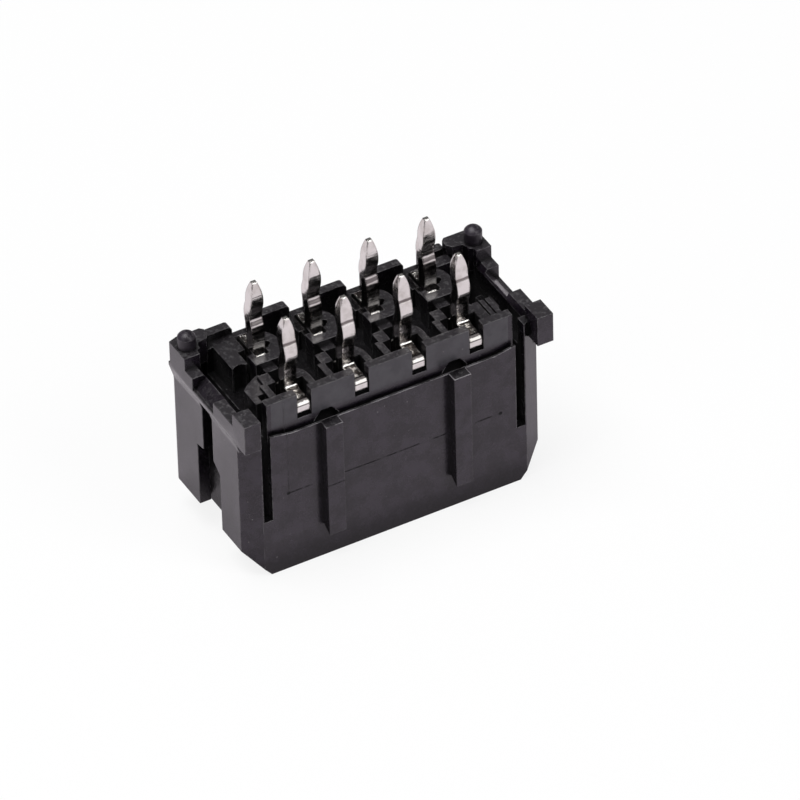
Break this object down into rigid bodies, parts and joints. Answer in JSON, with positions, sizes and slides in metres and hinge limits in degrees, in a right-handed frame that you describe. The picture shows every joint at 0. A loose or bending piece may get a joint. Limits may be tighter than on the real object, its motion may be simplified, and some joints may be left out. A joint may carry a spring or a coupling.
{
  "type": "pin header",
  "caption": "Shrouded two row pin header for a circuit board: flat walled plastic housing with locating pegs, kinked solder tails and recessed square mating pins.",
  "frame": {"origin": "middle of the mating pins' grid on the plane of the mating rim, which is also the middle of the part's base", "axes": "+X along the rows of contacts, +Y from the ribbed front to the latch face, +Z along the solder tails towards the board"},
  "size_m": [0.0162, 0.0082, 0.0131],
  "materials": {
    "housing": "semi matt moulded black",
    "contact": "bright tin plate"
  },
  "bodies": {
    "root": {"housing": "housing", "contact_1": "contact", "contact_2": "contact", "contact_3": "contact", "contact_4": "contact", "contact_5": "contact", "contact_6": "contact", "contact_7": "contact", "contact_8": "contact"}
  },
  "joints": []
}
